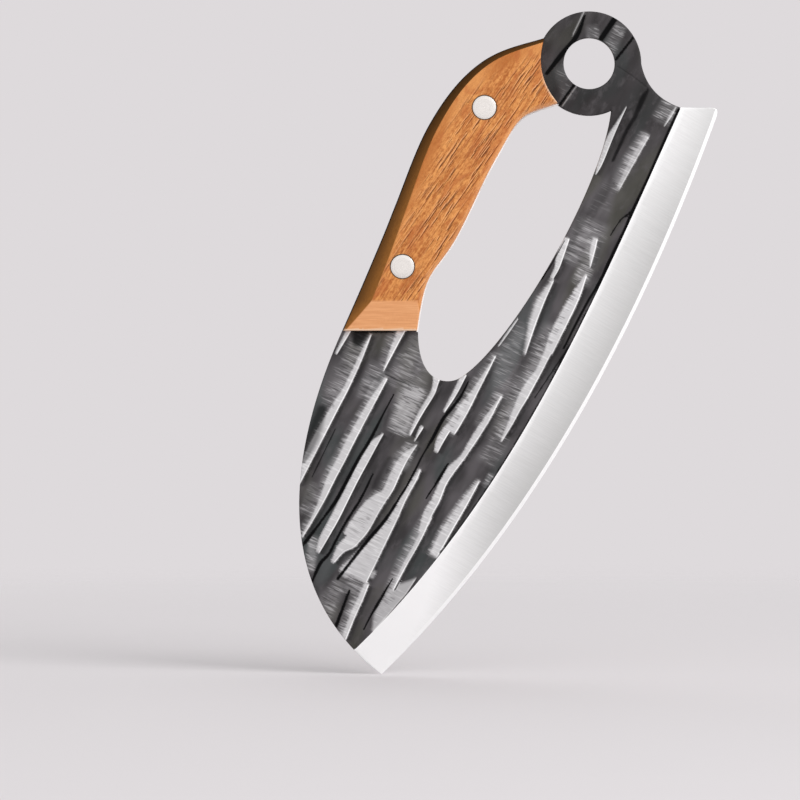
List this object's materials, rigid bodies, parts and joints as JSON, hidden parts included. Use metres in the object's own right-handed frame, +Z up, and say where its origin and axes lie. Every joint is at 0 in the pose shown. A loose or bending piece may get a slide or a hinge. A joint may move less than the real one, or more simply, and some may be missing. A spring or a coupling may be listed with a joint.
{
  "type": "kitchen cleaver",
  "caption": "Forged kitchen cleaver with a curved edge, a hand opening beside the blade, wooden grip scales on its tang and a hanging ring.",
  "frame": {"origin": "under the middle of the knife's outline, at the height of the blade's tip, in the plate's middle plane", "axes": "+Z up along the standing knife, +X towards the cutting edge, -Y the front that the picture shows"},
  "size_m": [0.1422, 0.0164, 0.2252],
  "materials": {
    "forged_steel": "hammered dark forge scale with bright ground ridges, polished cutting bevel",
    "grip_wood": "oiled orange-brown hardwood with fine dark pores along the grip",
    "rivet_steel": "satin, ground flush with the wood"
  },
  "bodies": {
    "root": {"blade": "forged_steel", "front_scale": "grip_wood", "rear_scale": "grip_wood", "upper_rivet_pin": "rivet_steel", "upper_rivet_barrel": "rivet_steel", "lower_rivet_pin": "rivet_steel", "lower_rivet_barrel": "rivet_steel"}
  },
  "joints": []
}
